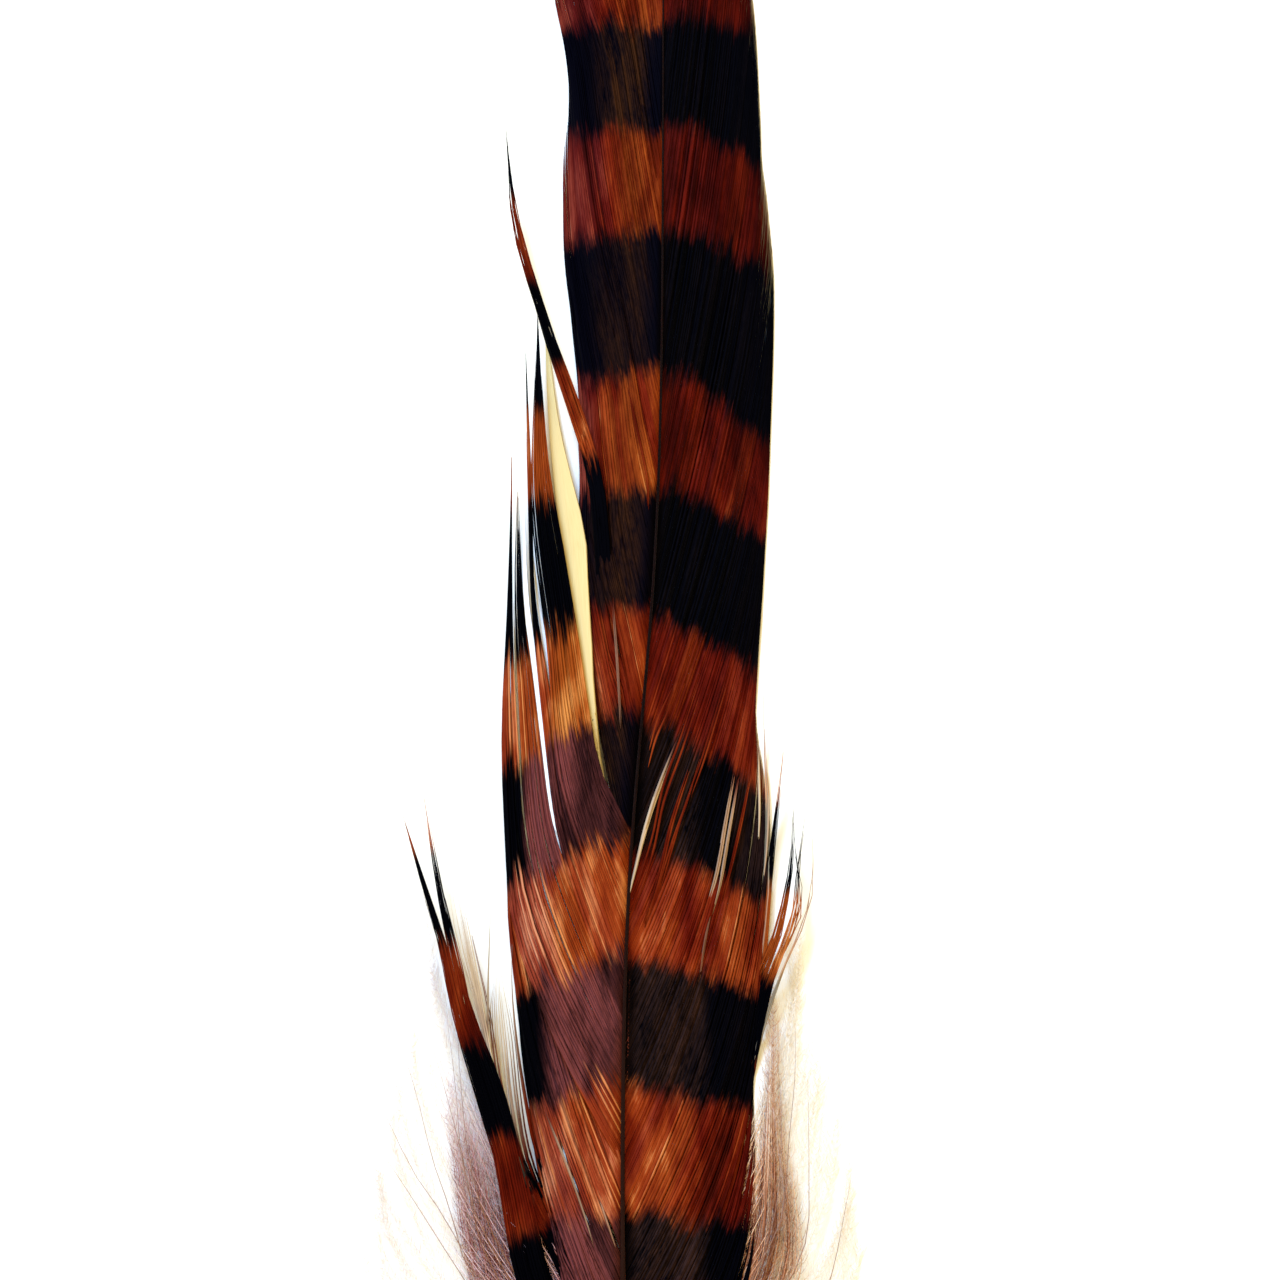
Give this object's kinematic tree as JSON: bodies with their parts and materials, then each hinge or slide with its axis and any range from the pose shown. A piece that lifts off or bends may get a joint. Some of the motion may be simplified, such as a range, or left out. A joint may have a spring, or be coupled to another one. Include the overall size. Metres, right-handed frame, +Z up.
{
  "type": "schlappen feather",
  "caption": "Long soft rooster feather with a curved quill, barred webbed vanes, parted locks and downy barbs at its base, for trimming hats, costumes and flies.",
  "frame": {"origin": "on the surface the feather lies on, under the middle of its box", "axes": "+Y from the end of the quill towards the tip, +Z up from the surface with the back of the feather up, +X to the right"},
  "size_m": [0.047, 0.2, 0.0043],
  "materials": {
    "barbs": "satin, barred rust orange and black, cream down and quill at the base"
  },
  "bodies": {
    "root": {"feather": "barbs"}
  },
  "joints": []
}
